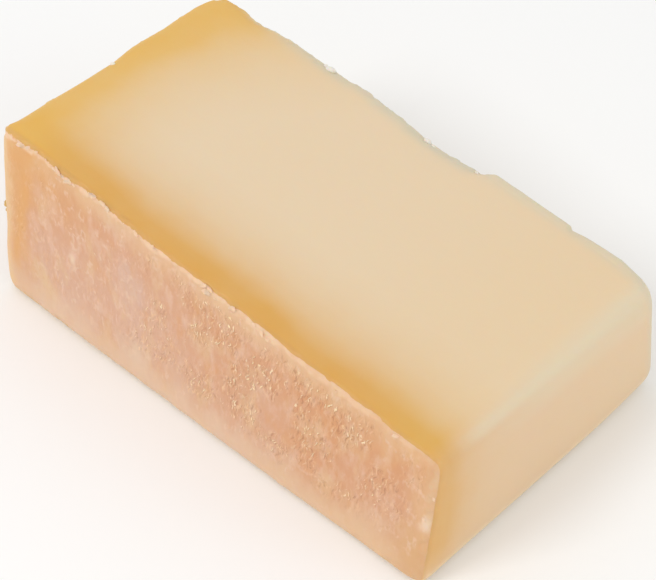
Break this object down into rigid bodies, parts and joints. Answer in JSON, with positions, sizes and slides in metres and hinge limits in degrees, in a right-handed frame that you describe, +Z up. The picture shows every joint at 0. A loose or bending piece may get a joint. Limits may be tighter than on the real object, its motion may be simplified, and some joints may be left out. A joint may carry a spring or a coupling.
{
  "type": "gruyere cheese chunk",
  "caption": "Chunk of hard mountain cheese cut as a short sector from a wheel: a tapering block, thickest at the rim, with dry rind on its outer sides and smooth cut faces.",
  "frame": {"origin": "on the surface that the chunk rests on, under the middle of its bounding box", "axes": "+X from the wheel's rim end to the heart end, along the chunk's length; -Y out of the rind on the wheel's flat side; +Z up"},
  "size_m": [0.107, 0.0646, 0.0396],
  "materials": {
    "cheese": "smooth waxy cream paste that turns golden towards the rind, and dry grainy pinkish tan rind"
  },
  "bodies": {
    "root": {"cheese_chunk": "cheese"}
  },
  "joints": []
}
